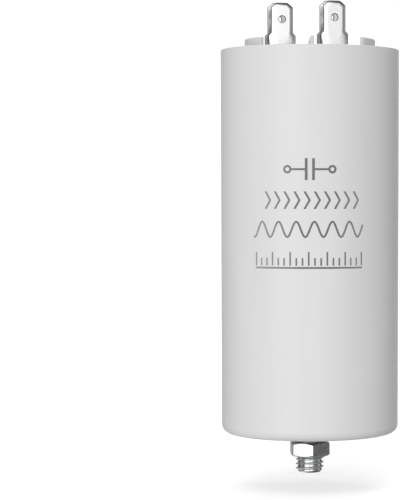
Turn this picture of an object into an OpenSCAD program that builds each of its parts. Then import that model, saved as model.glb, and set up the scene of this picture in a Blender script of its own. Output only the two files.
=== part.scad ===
// Motor run capacitor: a round plastic can with a moulded-in M8 mounting stud below
// and two double push-on terminals on the lid. Millimetres. The origin is on the can's
// axis in the plane of its bottom, +Z runs up to the terminals.

/* [Can] */
// Outside diameter at the open top
can_d = 50; // [49.5:0.1:51]
// Outside diameter at the bottom, a little less so that the can leaves its mould
can_foot_d = 49.24; // [49.1:0.02:49.5]
// Height of the can from its bottom to its rim
can_h = 107; // [100:0.5:120]
// Radius of the rounded edge round the bottom
foot_round = 2.5; // [1:0.1:4]
// Wall thickness at the mouth
wall_t = 1.4; // [1.2:0.05:1.5]
// Thickness of the floor
floor_t = 3; // [2.5:0.1:4]
// Radius of the shallow recess round the stud, inside the flat seat
recess_r = 9.5; // [9:0.1:12]
// Depth of that recess
recess_t = 0.4; // [0.2:0.05:0.8]
// Radius of the boss on the floor that holds the stud's head
boss_r = 9.5; // [9:0.1:11]
// Height of the boss above the can's bottom
boss_h = 9.5; // [9:0.1:11]

/* [Stud, washer and nut] */
// Radius of the thread outside the nut
thread_r = 4; // [4:0.01:4]
// Radius at which the thread is drawn where it is gripped, its pitch radius
grip_r = 3.6; // [3.5:0.01:3.7]
// How far the stud's end stands below the can's bottom
stud_out = 11.1; // [9:0.1:25]
// Height of the chamfer at the stud's end
stud_lead = 1; // [0.5:0.1:1.5]
// Width across the flats of the stud's buried head
head_af = 13; // [11:0.5:14]
// Thickness of that head
head_t = 5.3; // [4:0.1:5.5]
// Outside diameter of the washer
washer_d = 16; // [14:0.5:17]
// Hole of the washer
washer_hole_d = 8.4; // [8.2:0.1:9]
// Thickness of the washer
washer_t = 1.6; // [1:0.1:2]
// Width across the flats of the nut
nut_af = 10.4; // [10:0.1:13]
// Thickness of the nut, with its round washer face
nut_t = 5.5; // [5:0.1:6.5]
// Height of the nut's round washer face
nut_face_h = 1.3; // [0:0.1:1.5]
// Radius of the washer face at its foot, where the corner chamfers start
nut_face_r = 4.9; // [4.7:0.1:4.9]
// How much smaller the washer face is at its top
nut_face_taper = 0.4; // [0:0.1:0.4]
// Turn of the nut as it was left
nut_turn = 38; // [0:1:59]

/* [Lid] */
// How far the lid's face lies below the rim
lid_drop = 2; // [1:0.1:4]
// Thickness of the lid
lid_t = 2.2; // [1.8:0.1:3]
// Height of the collar and the barrier above the lid's face
collar_h = 4.9; // [3:0.1:8]
// Outside radius of the collar
collar_r = 18.3; // [18:0.1:20]
// Thickness of the collar
collar_t = 1.2; // [1:0.1:1.4]
// Width of the collar's front opening, in degrees
collar_gap = 100.5; // [90:0.5:120]
// Width of the collar's rear opening, in degrees
collar_gap_rear = 130; // [90:0.5:135]
// Turn of the collar, in degrees
collar_turn = 2.85; // [0:0.05:5]
// Thickness of the barrier between the terminals
barrier_t = 1.06; // [0.8:0.02:1.4]
// Length of the barrier
barrier_l = 33.4; // [30:0.2:34]
// Turn of the barrier, in degrees
barrier_turn = 1.2; // [0:0.1:3]

/* [Terminals] */
// Width of a blade
blade_w = 6.4; // [6.2:0.05:6.4]
// Thickness of the strip
strip_t = 0.8; // [0.7:0.05:0.85]
// Height of a blade's tip above the lid's face
blade_top = 15.5; // [14:0.1:18]
// Height at which a blade's shoulders begin, above the lid's face
shoulder_top = 7.1; // [5:0.1:7.4]
// Width of the foot below the shoulders
foot_w = 8.1; // [7.4:0.1:8.4]
// Distance between the middles of a terminal's two blades
blade_gap = 4.4; // [4.2:0.1:5]
// How much higher the far blade of each pair stands
far_rise = 0.3; // [0:0.05:0.4]
// Turn of each terminal about its rivet, in degrees
terminal_turn = 15; // [0:1:20]
// Diameter of the hole in each blade
blade_hole_d = 1.9; // [1.6:0.1:2]
// Distance of that hole from the tip
blade_hole_drop = 4.68; // [3.6:0.01:4.7]
// Width of the slanted corners at the tip
tip_w = 1.6; // [1:0.1:2]
// Height of those corners
tip_h = 1.3; // [1:0.1:2]
// Left terminal: place of its rivet across the can
left_x = -8.39; // [-9:0.01:-8]
// Left terminal: place of its rivet along the can's depth
left_y = 3.2; // [2:0.1:4]
// Right terminal: place of its rivet across the can
right_x = 6.29; // [6:0.01:8]
// Right terminal: place of its rivet along the can's depth
right_y = -3.2; // [-4:0.1:-2]
// Radius of the rivets' shanks
rivet_r = 1.1; // [1:0.05:1.2]

/* [Winding] */
// Radius of the finished roll, with its wrap
roll_r = 21; // [19:0.1:21]
// Radius of the roll's hollow core
core_r = 4; // [3:0.1:6]
// Thickness of the wrap round the roll
wrap_t = 0.4; // [0.2:0.05:0.8]
// Thickness of the sprayed metal on each end of the roll
spray_t = 0.6; // [0.4:0.05:1]
// Radius of the wires inside
lead_r = 0.45; // [0.35:0.05:0.5]
// Outside radius of the sleeves on the wires
sleeve_r = 0.8; // [0.7:0.05:0.85]

/* [Hidden] */
$fn = 96;

rt = can_d / 2;
rb = can_foot_d / 2;
// The outside wall leans out by this angle.
lean = atan((rt - rb) / can_h);
// Centre of the rounded bottom edge: it touches the seat and the leaning wall.
foot_x = rb - foot_round * (1 - sin(lean)) / cos(lean);
mouth_r = rt - wall_t;
lid_z = can_h - lid_drop;          // the lid's top face
ledge_z = lid_z - lid_t;           // the step inside the wall that the lid sits on
bore_top_r = mouth_r - 0.5;        // inside radius just below the ledge
bore_foot_r = rb - 1.8;            // inside radius at the floor
rim_round = 0.6;                   // outer edge of the rim
rim_in_round = 0.4;                // inner edge of the rim

resin_z = ledge_z - 3.3;           // surface of the resin
roll_z0 = boss_h + 5.1;            // the roll's two ends, sprays included
roll_z1 = resin_z - 5.9;
core_in_r = core_r - 1;
side_r = roll_r + sleeve_r + 0.1;  // where the long wire runs up beside the roll

washer_z = recess_t;               // the washer's upper face, in the recess
nut_z = washer_z - washer_t;       // the nut's upper face
nut_low = nut_z - nut_t;           // the nut's lower face
head_z = 2.2;                      // underside of the stud's buried head

tag_t = 0.5;
tag_l = 5.6;                       // from the rivet to the end of the wire
tag_z = ledge_z - tag_t;

// Routes of the two wires, from the roll's ends up to the solder tags. Every bend is a
// quarter turn, and the wires stand a hair off the sprayed ends, in their solder.
lead_off = lead_r + 0.15;
bend_r = 1.4;
side_x = floor(100 * sqrt(side_r * side_r - right_y * right_y)) / 100;
long_path = [
  [13, right_y, roll_z0 - lead_off], [side_x, right_y, roll_z0 - lead_off],
  [side_x, right_y, roll_z1 + 3.4], [right_x + tag_l, right_y, roll_z1 + 3.4],
  [right_x + tag_l, right_y, tag_z]
];
short_path = [
  [left_x - tag_l, 9, roll_z1 + lead_off], [left_x - tag_l, left_y, roll_z1 + lead_off],
  [left_x - tag_l, left_y, tag_z]
];
long_sleeve_path = [
  [side_x, right_y, roll_z0 + 2], long_path[2], long_path[3],
  [right_x + tag_l, right_y, resin_z + 1]
];
short_sleeve_path = [
  [left_x - tag_l, left_y, roll_z1 + 2.6], [left_x - tag_l, left_y, resin_z + 1]
];

// ---- shared shapes ----

// A straight round bar from a point, along a unit direction that follows an axis.
module bar(from, way, l, r) {
  translate(from) rotate([0, acos(way[2]), atan2(way[1], way[0])]) cylinder(h = l, r = r, $fn = 32);
}

// A quarter bend at a corner, from unit direction u to unit direction v.
module quarter_bend(corner, u, v, r) {
  o = corner + bend_r * (v - u);
  w = cross(-v, u);
  multmatrix([
    [-v[0], u[0], w[0], o[0]],
    [-v[1], u[1], w[1], o[1]],
    [-v[2], u[2], w[2], o[2]],
    [0, 0, 0, 1]
  ]) rotate_extrude(angle = 90) translate([bend_r, 0]) circle(r = r, $fn = 32);
}

function unit(v) = v / norm(v);

// A round wire through a list of corners: straight bars, with a quarter bend at each corner.
module wire(path, r) {
  last = len(path) - 2;
  union() {
    for (i = [0 : last]) {
      way = unit(path[i + 1] - path[i]);
      a = i == 0 ? 0 : bend_r;
      b = i == last ? 0 : bend_r;
      bar(path[i] + a * way, way, norm(path[i + 1] - path[i]) - a - b, r);
    }
    for (i = [1 : 1 : last]) quarter_bend(path[i], unit(path[i] - path[i - 1]), unit(path[i + 1] - path[i]), r);
  }
}

// A ring between two radii and two heights.
module ring(r_in, r_out, z0, z1) {
  translate([0, 0, z0]) difference() {
    cylinder(h = z1 - z0, r = r_out);
    translate([0, 0, -1]) cylinder(h = z1 - z0 + 2, r = r_in);
  }
}

// A hexagonal prism of a given width across its flats.
module hexagon(af, z0, z1) {
  translate([0, 0, z0]) cylinder(h = z1 - z0, r = af / sqrt(3), $fn = 6);
}

// ---- can and fixings ----

module case() {
  color([0.9, 0.9, 0.9])
  difference() {
    rotate_extrude($fn = 128) union() {
      polygon([
        [0, recess_t], [recess_r, recess_t], [recess_r, 0], [foot_x, 0],
        [foot_x + foot_round * cos(lean), foot_round - foot_round * sin(lean)],
        [rt - rim_round * (rt - rb) / can_h, can_h - rim_round],
        [rt - rim_round, can_h], [mouth_r + rim_in_round, can_h],
        [mouth_r, can_h - rim_in_round], [mouth_r, ledge_z], [bore_top_r, ledge_z],
        [bore_foot_r, floor_t], [boss_r, floor_t], [boss_r, boss_h], [0, boss_h]
      ]);
      intersection() {
        translate([foot_x, foot_round]) circle(r = foot_round);
        translate([foot_x, 0]) square([foot_round + 1, foot_round]);
      }
      translate([rt - rim_round * (1 + (rt - rb) / can_h), can_h - rim_round]) circle(r = rim_round);
      translate([mouth_r + rim_in_round, can_h - rim_in_round]) circle(r = rim_in_round);
    }
    translate([0, 0, -1]) cylinder(h = head_z + 2, r = grip_r);
    hexagon(head_af, head_z, head_z + head_t);
  }
}

module mounting_stud() {
  color([0.72, 0.73, 0.75])
  union() {
    hexagon(head_af, head_z, head_z + head_t);
    translate([0, 0, nut_low]) cylinder(h = head_z - nut_low + 1, r = grip_r);
    translate([0, 0, stud_lead - stud_out]) cylinder(h = stud_out - stud_lead + nut_low, r = thread_r);
    translate([0, 0, -stud_out]) cylinder(h = stud_lead, r1 = thread_r - stud_lead, r2 = thread_r);
  }
}

module washer() {
  color([0.75, 0.76, 0.78])
  ring(washer_hole_d / 2, washer_d / 2, washer_z - washer_t, washer_z);
}

module hex_nut() {
  corner_r = nut_af / sqrt(3);
  cut = (corner_r - nut_face_r) * tan(30);  // height of the 30-degree corner chamfers
  hex_top = nut_z - nut_face_h;
  color([0.8, 0.81, 0.83])
  difference() {
    intersection() {
      rotate([0, 0, nut_turn]) hexagon(nut_af, nut_low, nut_z);
      union() {
        translate([0, 0, nut_low]) cylinder(h = cut, r1 = nut_face_r, r2 = corner_r);
        translate([0, 0, nut_low + cut]) cylinder(h = hex_top - nut_low - 2 * cut, r = corner_r);
        translate([0, 0, hex_top - cut]) cylinder(h = cut, r1 = corner_r, r2 = nut_face_r);
        translate([0, 0, hex_top]) cylinder(h = nut_face_h, r1 = nut_face_r, r2 = nut_face_r - nut_face_taper);
      }
    }
    translate([0, 0, nut_low - 1]) cylinder(h = nut_t + 2, r = grip_r);
    translate([0, 0, nut_low - 0.01]) cylinder(h = 0.6, r1 = thread_r + 0.21, r2 = grip_r);
    translate([0, 0, nut_z - 0.59]) cylinder(h = 0.6, r1 = grip_r, r2 = thread_r + 0.21);
  }
}

// ---- lid and terminals ----

// The collar's two arches: the ring less a wedge at the front and one at the back.
module collar() {
  reach = 2 * collar_r;
  difference() {
    rotate_extrude($fn = 128) union() {
      polygon([
        [collar_r - collar_t, lid_z - 0.5], [collar_r, lid_z - 0.5],
        [collar_r, lid_z + collar_h - 0.35], [collar_r - 0.35, lid_z + collar_h],
        [collar_r - collar_t + 0.35, lid_z + collar_h], [collar_r - collar_t, lid_z + collar_h - 0.35]
      ]);
      for (x = [collar_r - 0.35, collar_r - collar_t + 0.35])
        translate([x, lid_z + collar_h - 0.35]) circle(r = 0.35);
    }
    for (opening = [[0, collar_gap / 2], [180, collar_gap_rear / 2]]) rotate([0, 0, collar_turn + opening[0]])
      translate([0, 0, lid_z - 1]) linear_extrude(collar_h + 2)
        polygon([
          [0, 0],
          [-reach * sin(opening[1]), -reach * cos(opening[1])],
          [0, -2 * reach],
          [reach * sin(opening[1]), -reach * cos(opening[1])]
        ]);
  }
}

// Everything on the lid that belongs to one terminal: ribs that stop it turning.
module terminal_ribs(x, y) {
  translate([x, y, lid_z - 0.5]) rotate([0, 0, terminal_turn])
    for (s = [-1, 1]) translate([s * (foot_w / 2 + 0.4), 0, 0.85]) cube([0.6, 4.2, 1.7], center = true);
}

module lid() {
  color([0.86, 0.86, 0.86])
  difference() {
    union() {
      translate([0, 0, ledge_z]) cylinder(h = lid_t, r = mouth_r, $fn = 128);
      ring(bore_top_r - 1.9, bore_top_r - 0.5, ledge_z - 2.2, ledge_z + 0.5);
      collar();
      translate([0.23, 0, lid_z - 0.5]) rotate([0, 0, barrier_turn])
        translate([-barrier_t / 2, -barrier_l / 2, 0]) cube([barrier_t, barrier_l, collar_h + 0.5]);
      terminal_ribs(left_x, left_y);
      terminal_ribs(right_x, right_y);
    }
    for (p = [[left_x, left_y], [right_x, right_y]])
      translate([p[0], p[1], ledge_z - 1]) cylinder(h = lid_t + 2, r = rivet_r);
  }
}

// A blade and its foot seen square on, up to a given height above the lid's face.
module blade_face(top) {
  polygon([
    [-foot_w / 2, -1], [foot_w / 2, -1],
    [foot_w / 2, shoulder_top - (foot_w - blade_w) / 2], [blade_w / 2, shoulder_top],
    [blade_w / 2, top - tip_h], [blade_w / 2 - tip_w, top],
    [tip_w - blade_w / 2, top], [-blade_w / 2, top - tip_h],
    [-blade_w / 2, shoulder_top], [-foot_w / 2, shoulder_top - (foot_w - blade_w) / 2]
  ]);
}

// The folded strip seen from its end: a channel with rounded bends and thinned tips.
module strip_end() {
  o = blade_gap / 2 + strip_t / 2;
  i = blade_gap / 2 - strip_t / 2;
  bend = 0.2;
  difference() {
    union() {
      polygon([
        [bend + strip_t - o, 0], [o - bend - strip_t, 0], [o, bend + strip_t],
        [o, blade_top + far_rise - 0.8], [o - 0.2, blade_top + far_rise],
        [i + 0.2, blade_top + far_rise], [i, blade_top + far_rise - 0.8],
        [i, bend + strip_t], [-i, bend + strip_t],
        [-i, blade_top - 0.8], [-i - 0.2, blade_top],
        [0.2 - o, blade_top], [-o, blade_top - 0.8], [-o, bend + strip_t]
      ]);
      for (s = [-1, 1]) translate([s * (o - bend - strip_t), bend + strip_t]) circle(r = bend + strip_t, $fn = 48);
    }
    // the room above the web, with its two small inner bends
    polygon([
      [bend - i, strip_t], [i - bend, strip_t], [i, strip_t + bend], [i, strip_t + 3],
      [-i, strip_t + 3], [-i, strip_t + bend]
    ]);
    for (s = [-1, 1]) translate([s * (i - bend), strip_t + bend]) circle(r = bend, $fn = 48);
  }
}

// One double terminal: a strip folded into a channel, with a blade on each side.
module terminal(x, y) {
  hole_y = blade_gap / 2;
  color([0.8, 0.81, 0.82])
  translate([x, y, lid_z]) rotate([0, 0, terminal_turn])
  difference() {
    intersection() {
      translate([foot_w / 2 + 1, 0, 0]) rotate([90, 0, -90]) mirror([1, 0, 0]) linear_extrude(foot_w + 2) strip_end();
      union() {
        rotate([90, 0, 0]) linear_extrude(blade_gap) blade_face(blade_top);
        translate([0, blade_gap, 0]) rotate([90, 0, 0]) linear_extrude(blade_gap) blade_face(blade_top + far_rise);
      }
    }
    translate([0, 0, blade_top - blade_hole_drop]) rotate([90, 0, 0]) cylinder(h = blade_gap, r = blade_hole_d / 2, $fn = 48);
    translate([0, 0, blade_top + far_rise - blade_hole_drop]) rotate([-90, 0, 0]) cylinder(h = blade_gap, r = blade_hole_d / 2, $fn = 48);
    translate([0, 0, -1]) cylinder(h = 3, r = rivet_r);
  }
}

module terminal_left() { terminal(left_x, left_y); }
module terminal_right() { terminal(right_x, right_y); }

// A rivet with a low domed head above the web, and a hollow tail rolled over the tag.
module rivet(x, y) {
  head_r = 1.5;
  color([0.7, 0.71, 0.73])
  translate([x, y, 0]) difference() {
    union() {
      translate([0, 0, tag_z - 0.1]) cylinder(h = lid_z + strip_t - tag_z + 0.2, r = rivet_r);
      intersection() {
        translate([0, 0, lid_z + strip_t]) cylinder(h = 2, r = head_r);
        translate([0, 0, lid_z + strip_t + 0.7 - 2.2]) sphere(r = 2.2);
      }
      translate([0, 0, tag_z - 0.6]) cylinder(h = 0.6, r1 = rivet_r + 0.35, r2 = rivet_r + 0.8);
    }
    translate([0, 0, tag_z - 1.6]) cylinder(h = 3, r = 0.65);
  }
}

module rivet_left() { rivet(left_x, left_y); }
module rivet_right() { rivet(right_x, right_y); }

// A flat ring with a tail that carries the wire's end, held under the lid by the rivet.
module solder_tag(x, y, way) {
  color([0.78, 0.77, 0.72])
  translate([x, y, tag_z]) difference() {
    union() {
      cylinder(h = tag_t, r = 2.5);
      translate([way > 0 ? 0 : -tag_l, -1.2, 0]) cube([tag_l, 2.4, tag_t]);
      translate([way * tag_l, 0, 0]) cylinder(h = tag_t, r = 1.2, $fn = 48);
    }
    translate([0, 0, -1]) cylinder(h = 3, r = rivet_r);
  }
}

module solder_tag_left() { solder_tag(left_x, left_y, -1); }
module solder_tag_right() { solder_tag(right_x, right_y, 1); }

// Solder between a wire's end and the underside of its tag.
module tag_solder(path) {
  e = path[len(path) - 1];
  color([0.72, 0.72, 0.7])
  difference() {
    translate([e[0], e[1], tag_z - 1]) cylinder(h = 1, r1 = lead_r + 0.15, r2 = 1.15, $fn = 48);
    translate([e[0], e[1], tag_z - 2]) cylinder(h = 3, r = lead_r, $fn = 32);
  }
}

module solder_left() { tag_solder(short_path); }
module solder_right() { tag_solder(long_path); }

// ---- winding, wires and resin ----

module base_spacer() {
  color([0.82, 0.8, 0.74])
  difference() {
    union() {
      translate([0, 0, boss_h]) cylinder(h = 2, r = roll_r);
      ring(roll_r - 2, roll_r, boss_h + 1, roll_z0);
      ring(6, 7.5, boss_h + 1, roll_z0);
      translate([0, 0, boss_h + 1]) cylinder(h = roll_z0 - boss_h + 3, r = core_in_r);
    }
    // a notch that lets the long wire out
    translate([roll_r - 4, right_y - 1.2, boss_h + 3]) cube([8, 2.4, 6]);
  }
}

module winding_core() {
  color([0.85, 0.84, 0.8]) ring(core_in_r, core_r, roll_z0, roll_z1);
}

module film_winding() {
  color([0.75, 0.74, 0.7]) ring(core_r, roll_r - wrap_t, roll_z0 + spray_t, roll_z1 - spray_t);
}

module bottom_end_spray() {
  color([0.6, 0.61, 0.63]) ring(core_r, roll_r - wrap_t, roll_z0, roll_z0 + spray_t);
}

module top_end_spray() {
  color([0.6, 0.61, 0.63]) ring(core_r, roll_r - wrap_t, roll_z1 - spray_t, roll_z1);
}

module outer_wrap() {
  color([0.9, 0.85, 0.6]) ring(roll_r - wrap_t, roll_r, roll_z0, roll_z1);
}

module lead_long() {
  color([0.78, 0.76, 0.7]) wire(long_path, lead_r);
}

module lead_short() {
  color([0.78, 0.76, 0.7]) wire(short_path, lead_r);
}

module sleeve_long() {
  color([0.15, 0.15, 0.16]) difference() {
    wire(long_sleeve_path, sleeve_r);
    wire(long_path, lead_r);
  }
}

module sleeve_short() {
  color([0.15, 0.15, 0.16]) difference() {
    wire(short_sleeve_path, sleeve_r);
    wire(short_path, lead_r);
  }
}

// The domes of solder on the roll's sprayed ends, before the wire is taken out of them.
module bottom_dome() {
  p = long_path[0];
  intersection() {
    translate([p[0] + 0.6, p[1], roll_z0 + 0.8]) sphere(r = 2.2, $fn = 48);
    translate([p[0] - 4, p[1] - 4, roll_z0 - 4]) cube([8, 8, 4]);
  }
}

module top_dome() {
  p = short_path[0];
  intersection() {
    translate([p[0], p[1] - 0.6, roll_z1 - 0.8]) sphere(r = 2.2, $fn = 48);
    translate([p[0] - 4, p[1] - 4, roll_z1]) cube([8, 8, 4]);
  }
}

module solder_bottom_spray() {
  color([0.72, 0.72, 0.7]) difference() {
    bottom_dome();
    wire(long_path, lead_r);
  }
}

module solder_top_spray() {
  color([0.72, 0.72, 0.7]) difference() {
    top_dome();
    wire(short_path, lead_r);
  }
}

module potting_resin() {
  slope = (bore_top_r - bore_foot_r) / (ledge_z - floor_t);
  color([0.78, 0.74, 0.66])
  difference() {
    rotate_extrude($fn = 128) polygon([
      [boss_r, floor_t], [bore_foot_r, floor_t],
      [bore_foot_r + slope * (resin_z - floor_t), resin_z],
      [0, resin_z], [0, roll_z1], [roll_r, roll_z1], [roll_r, boss_h], [boss_r, boss_h]
    ]);
    top_dome();
    wire(long_path, lead_r);
    wire(short_path, lead_r);
    wire(long_sleeve_path, sleeve_r);
    wire(short_sleeve_path, sleeve_r);
  }
}

case();
base_spacer();
winding_core();
film_winding();
bottom_end_spray();
top_end_spray();
outer_wrap();
lead_long();
lead_short();
sleeve_long();
sleeve_short();
solder_bottom_spray();
solder_top_spray();
potting_resin();
lid();
terminal_left();
terminal_right();
rivet_left();
rivet_right();
solder_tag_left();
solder_tag_right();
solder_left();
solder_right();
mounting_stud();
washer();
hex_nut();
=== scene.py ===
import math

import bmesh
import bpy
import numpy as np
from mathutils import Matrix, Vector
from mathutils.geometry import delaunay_2d_cdt


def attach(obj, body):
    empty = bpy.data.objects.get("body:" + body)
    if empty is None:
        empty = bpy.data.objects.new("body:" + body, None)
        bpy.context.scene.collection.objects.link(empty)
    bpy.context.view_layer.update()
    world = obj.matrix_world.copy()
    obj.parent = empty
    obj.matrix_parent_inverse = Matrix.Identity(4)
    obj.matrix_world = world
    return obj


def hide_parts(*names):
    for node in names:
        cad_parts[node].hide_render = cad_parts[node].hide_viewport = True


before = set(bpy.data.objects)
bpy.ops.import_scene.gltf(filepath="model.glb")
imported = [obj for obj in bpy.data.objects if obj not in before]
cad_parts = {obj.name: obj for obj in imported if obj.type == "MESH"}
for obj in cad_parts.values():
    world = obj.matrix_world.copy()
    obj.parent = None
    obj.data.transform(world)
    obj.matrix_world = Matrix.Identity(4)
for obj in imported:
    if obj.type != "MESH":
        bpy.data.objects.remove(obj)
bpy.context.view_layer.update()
scene = bpy.context.scene
MM = 0.001
TAU = 2 * math.pi

# ---------------------------------------------------------------- camera
# Straight on and level, with the object right of the middle of the frame.
camera_data = bpy.data.cameras.new("camera")
camera_data.sensor_width = 36.0
camera_data.lens = 142.92
camera_data.shift_x = -0.2197
camera_data.shift_y = -0.1113
camera_data.clip_start = 0.01
camera_data.clip_end = 60.0
camera = bpy.data.objects.new("camera", camera_data)
camera.location = (0.0, -0.557, 0.0666)
camera.rotation_euler = (math.pi / 2, 0.0, 0.0)
scene.collection.objects.link(camera)
scene.camera = camera
scene.view_settings.view_transform = "Standard"

# ---------------------------------------------------------------- sizes, in millimetres, as in the CAD
RT, RB, CAN_H = 25.0, 24.62, 107.0
LEAN = math.atan((RT - RB) / CAN_H)
FOOT_ROUND = 2.5
FOOT_X = RB - FOOT_ROUND * (1 - math.sin(LEAN)) / math.cos(LEAN)
MOUTH_R = 23.6
LID_Z, LEDGE_Z = 105.0, 102.8
RECESS_R, RECESS_T = 9.5, 0.4
BOSS_R, BOSS_H, FLOOR_T = 9.5, 9.5, 3.0
GRIP_R, THREAD_R, PITCH = 3.6, 4.0, 1.25
STUD_END, NUT_TOP, NUT_LOW = -11.1, -1.2, -6.7
NUT_AF, NUT_TURN, NUT_FACE_R, NUT_HEX_TOP = 10.4, 38.0, 4.9, -2.5
HEAD_AF, HEAD_Z, HEAD_T = 13.0, 2.2, 5.3
LEFT, RIGHT, TURN = (-8.39, 3.2), (6.29, -3.2), math.radians(15)


# ---------------------------------------------------------------- mesh tools
class Shell:
    """A closed surface made of loops of points, strips of faces between them and flat caps."""

    def __init__(self):
        self.v, self.f = [], []

    def loop(self, points):
        start = len(self.v)
        self.v += [tuple(map(float, p)) for p in points]
        return list(range(start, start + len(points)))

    def point(self, p):
        self.v.append(tuple(map(float, p)))
        return len(self.v) - 1

    def strip(self, a, b):
        n = len(a)
        for i in range(n):
            j = (i + 1) % n
            self.f.append((a[i], a[j], b[j], b[i]))

    def strips(self, loops):
        for a, b in zip(loops[:-1], loops[1:]):
            self.strip(a, b)
        return loops[-1]

    def fan(self, centre, a):
        n = len(a)
        for i in range(n):
            self.f.append((a[i], a[(i + 1) % n], centre))

    def cap(self, outer, holes=(), level=None, grid=None, lines=()):
        """Fills the region inside outer and outside holes with triangles, in the plane of the first two coordinates."""
        ids = list(outer)
        edges = [(i, (i + 1) % len(outer)) for i in range(len(outer))]
        for h in holes:
            k = len(ids)
            ids += h
            edges += [(k + i, k + (i + 1) % len(h)) for i in range(len(h))]
        where = {v: i for i, v in enumerate(ids)}
        edges += [(where[a], where[b]) for a, b in lines]
        rim = np.array([self.v[i][:2] for i in outer])
        cut = [np.array([self.v[i][:2] for i in h]) for h in holes]
        if grid is not None and len(grid):
            keep = inside(grid, rim)
            for c in cut:
                keep &= ~inside(grid, c)
            near = np.array([self.v[i][:2] for i in ids])
            for p in grid[keep]:
                if np.min(np.hypot(*(near - p).T)) > 0.12:
                    ids.append(self.point((p[0], p[1], level)))
        coords = [Vector(self.v[i][:2]) for i in ids]
        out = delaunay_2d_cdt(coords, edges, [], 0, 1e-7, True)
        origin = [o[0] if o else None for o in out[3]]
        tris = np.array([t for t in out[2] if len(t) == 3])
        at = np.array([tuple(p) for p in out[0]])
        mid = at[tris].mean(1)
        keep = inside(mid, rim)
        for c in cut:
            keep &= ~inside(mid, c)
        for t in tris[keep]:
            self.f.append(tuple(ids[origin[k]] for k in t))


def inside(points, polygon):
    """Which points lie in a polygon."""
    x, y = points[:, 0][:, None], points[:, 1][:, None]
    a, b = polygon, np.roll(polygon, -1, 0)
    crosses = (a[:, 1] > y) != (b[:, 1] > y)
    with np.errstate(divide="ignore", invalid="ignore"):
        at = (b[:, 0] - a[:, 0]) * (y - a[:, 1]) / (b[:, 1] - a[:, 1]) + a[:, 0]
    return (np.sum(crosses & (x < at), 1) % 2) == 1


def piece(name, shell, material, replaces=(), sharp=32.0, weighted=True):
    """Makes an object of the shell, given in millimetres, that rides on the CAD body."""
    mesh = bpy.data.meshes.new(name)
    mesh.from_pydata([tuple(c * MM for c in p) for p in shell.v], [], shell.f)
    bm = bmesh.new()
    bm.from_mesh(mesh)
    bmesh.ops.recalc_face_normals(bm, faces=bm.faces)
    bm.to_mesh(mesh)
    bm.free()
    mesh.validate()
    mesh.polygons.foreach_set("use_smooth", [True] * len(mesh.polygons))
    mesh.set_sharp_from_angle(angle=math.radians(sharp))
    mesh.materials.append(material)
    o = bpy.data.objects.new(name, mesh)
    scene.collection.objects.link(o)
    if weighted:
        w = o.modifiers.new("weighted", "WEIGHTED_NORMAL")
        w.keep_sharp = True
        w.mode = "FACE_AREA"
    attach(o, "root")
    if replaces:
        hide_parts(*replaces)
    return o


def ring(r, z, n, turn=0.0):
    """n points round the axis. r and z are numbers or arrays of n."""
    a = turn + np.arange(n) * TAU / n
    r = np.broadcast_to(r, n)
    z = np.broadcast_to(z, n)
    return np.stack([r * np.cos(a), r * np.sin(a), z], 1)


def arc(cx, cy, r, a0, a1, n):
    """Points of an arc in a lathe profile, angles in degrees."""
    return [
        (cx + r * math.cos(math.radians(a)), cy + r * math.sin(math.radians(a)))
        for a in np.linspace(a0, a1, n)
    ]


def lathe(shell, profile, n, at=(0.0, 0.0)):
    """Turns a profile of (r, z) round an upright axis. An end on the axis is closed by a fan."""
    loops, first, last = [], None, None
    for k, (r, z) in enumerate(profile):
        if np.isscalar(r) and r < 1e-9:
            p = shell.point((at[0], at[1], z))
            if k == 0:
                first = p
            else:
                last = p
            continue
        points = ring(r, z, n)
        points[:, 0] += at[0]
        points[:, 1] += at[1]
        loops.append(shell.loop(points))
    shell.strips(loops)
    if first is not None:
        shell.fan(first, loops[0])
    if last is not None:
        shell.fan(last, loops[-1])
    if first is None and last is None:
        shell.strip(loops[-1], loops[0])


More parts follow.
